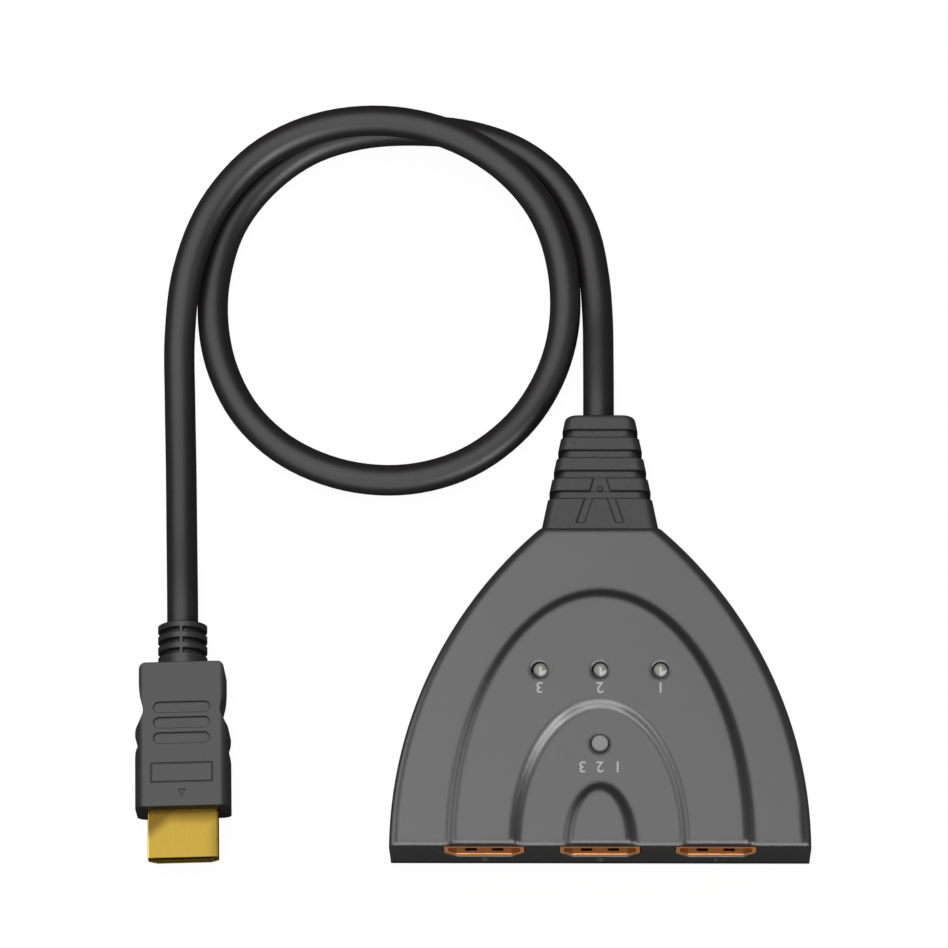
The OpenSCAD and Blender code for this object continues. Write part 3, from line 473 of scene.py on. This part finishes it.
# %% Digits
face_up, face_front = (0, 0, 180), (90, 0, 0)
lamp_pitch, socket_pitch = 11.85, 22.6
for digit, side in ((1, 1), (2, 0), (3, -1)):
    printed("lamp_digit_%d" % digit, str(digit), 2.2,
            (side * lamp_pitch, -13.4, 16.0), face_up)
for digit, side in ((1, 1), (2, 0), (3, -1)):
    printed("socket_digit_%d" % digit, str(digit), 2.0,
            (side * socket_pitch, -45.0, 3.4), face_front)
printed("button_marks", "123", 2.2, (0, -29.1, 14.5), face_up, spread=2.2)

# %% [markdown]
# ## Floor and background
# The object lies on white paper in a white room. A floor lit until it is white would put far
# too much light on the object, so the paper and the world are white to the camera and to
# glass alone. To mirrors they are almost dark, because a white room lays a grey veil on black
# plastic, and the room lights with a little over a quarter of its white. The paper under its
# glow is a dark grey that takes the object's shadow.

# %% Floor
WHITE = (1, 1, 1, 1)


def seen_directly(tree):
    """Two masks: rays straight from the camera, a mirror or glass, and rays from a mirror."""
    rays = add(tree, "ShaderNodeLightPath").outputs
    seen = rays["Is Camera Ray"]
    for other in ("Is Glossy Ray", "Is Transmission Ray"):
        seen = add(tree, "ShaderNodeMath", {0: seen, 1: rays[other]},
                   operation="MAXIMUM").outputs[0]
    return seen, rays["Is Glossy Ray"]


# A fifth of a millimetre under the feet of the object, so that no two faces share a plane
bpy.ops.mesh.primitive_plane_add(size=6, location=(0, 0, -0.0002))
floor = bpy.context.object
floor.name = "floor"
paper, tree, shader = blank_material("matt_white_paper")
shader.inputs["Base Color"].default_value = tone("#404040")
shader.inputs["Roughness"].default_value = 1
shader.inputs["Specular IOR Level"].default_value = 0
paper_to_camera, paper_to_mirrors = 0.96, 0.03
seen, mirrored = seen_directly(tree)
pale = add(tree, "ShaderNodeMapRange", {"Value": mirrored, "To Min": paper_to_camera,
           "To Max": paper_to_mirrors})
level = add(tree, "ShaderNodeMath", {0: seen, 1: pale.outputs["Result"]}, operation="MULTIPLY")
glow = add(tree, "ShaderNodeEmission", {"Color": WHITE, "Strength": level.outputs[0]})
both = add(tree, "ShaderNodeAddShader", {0: shader.outputs[0], 1: glow.outputs[0]})
tree.links.new(both.outputs[0], tree.nodes["Material Output"].inputs["Surface"])
floor.data.materials.append(paper)
print("paper shows", paper_to_camera, "of white, and", paper_to_mirrors, "to mirrors")

# %% World
world = bpy.data.worlds.new("studio")
bpy.context.scene.world = world
world.use_nodes = True
tree = world.node_tree
ground = tree.nodes["Background"]
ground.inputs["Color"].default_value = WHITE
room_light, room_to_mirrors = 0.28, 0.07
seen, mirrored = seen_directly(tree)
level = add(tree, "ShaderNodeMapRange", {"Value": seen, "To Min": room_light, "To Max": 1.0})
dim = add(tree, "ShaderNodeMapRange", {"Value": mirrored, "To Min": 1.0,
          "To Max": room_to_mirrors})
level = add(tree, "ShaderNodeMath", {0: level.outputs["Result"], 1: dim.outputs["Result"]},
            operation="MULTIPLY")
tree.links.new(level.outputs[0], ground.inputs["Strength"])
print("room lights with", room_light, "of white")

# %% [markdown]
# ## Lamps
# A studio would use a few big soft boxes. Plastic, cord and metal take light so differently
# that one set can't match them all, so each group of pieces has windows of its own, linked to
# it. Windows above give the flat faces their grey, one in front looks into the sockets,
# and two at the sides light the gold's edges. The sheen on the terraces' slopes comes from
# wide lamps high and low in front and from low ones to the right and left, and two more draw
# the streaks along the cord. These last nine are seen in the shine alone, so they leave the
# flat tops as they are.

# %% Groups of pieces
metals = [parts[name] for name in ["plug_shell", "plug_contacts", "chip_leads", "cover_screws"]
          + ports("shell") + ports("contacts")]
others = [o for o in bpy.context.scene.objects if o.type in ("MESH", "FONT") and o not in metals]
cover = [parts["top_cover"], parts["bottom_cover"]]
soft_pieces = [o for o in others if o not in cover + [cord]]
in_sockets = [parts[name] for name in ports("shell") + ports("contacts")]
top, gold_shell = [parts["top_cover"]], [parts["plug_shell"]]
print(len(metals), "metal pieces,", len(soft_pieces), "soft pieces and floor")


# %% Lamps
def window(name, place, size, watts, group_name, pieces):
    """A soft box of a width and height in metres, aimed at the object, on some pieces alone."""
    lamp = bpy.data.lights.new(name, "AREA")
    lamp.shape = "RECTANGLE"
    lamp.size, lamp.size_y = size
    lamp.energy = watts
    piece = bpy.data.objects.new(name, lamp)
    piece.location = place
    aim = Vector((-0.02, 0.02, 0))
    piece.rotation_euler = (Vector(place) - aim).to_track_quat("Z", "Y").to_euler()
    bpy.context.scene.collection.objects.link(piece)
    group = bpy.data.collections.new(group_name)
    for lit in pieces:
        group.objects.link(lit)
    piece.light_linking.receiver_collection = group
    return piece


# Name, place and size in metres, watts, then the group that it lights: its name and pieces
for row in (
        ("window_above", (-0.2, 0.3, 1.6), (1.6, 1.8), 25, "soft_pieces", soft_pieces),
        ("window_on_cord", (-0.5, 0.0, 1.6), (2.5, 2.8), 52, "cord", [cord]),
        ("window_on_cover", (-0.2, 0.28, 1.6), (1.0, 1.2), 7.5, "cover", cover),
        ("window_on_metal", (0.0, 0.12, 1.6), (1.8, 1.5), 7.2, "metal", metals),
        ("window_in_sockets", (0.0, -1.1, 0.5), (0.8, 0.8), 60, "sockets", in_sockets),
        ("gold_edge_left", (-1.3, -0.1, 0.3), (1.6, 1.0), 14, "gold_left", gold_shell),
        ("gold_edge_right", (1.2, -0.1, 0.3), (1.2, 0.8), 6, "gold_right", gold_shell)):
    window(*row)
for row in (
        ("sheen_front", (0.0, -1.0, 0.9), (4.0, 0.9), 32, "cover_front", top),
        ("sheen_right", (1.25, -0.6, 0.55), (0.9, 1.1), 15, "cover_right", top),
        ("sheen_left", (-1.3, 0.1, 0.42), (1.6, 1.0), 8, "cover_left", top),
        ("sheen_front_low", (0.0, -1.1, 0.35), (1.4, 0.75), 9, "cover_front_low", top),
        ("sheen_front_right", (0.65, -1.1, 0.85), (0.6, 0.5), 1.3, "cover_front_right", top),
        ("sheen_front_left", (-0.95, -0.8, 0.95), (1.1, 0.7), 3, "cover_front_left", top),
        ("sheen_far_right", (1.3, 0.15, 0.4), (1.0, 0.8), 0.4, "cover_far_right", top),
        ("streak_on_cord", (0.9, -0.9, 0.6), (0.7, 0.7), 18, "cord_right", [cord]),
        ("sheen_on_cord", (-0.3, -1.5, 0.8), (2.5, 1.1), 20, "cord_front", [cord])):
    window(*row).visible_diffuse = False

# %% [markdown]
# ## The end
# The image takes the colours as they are, without a film curve.

# %% Finish
bpy.context.scene.view_settings.view_transform = "Standard"
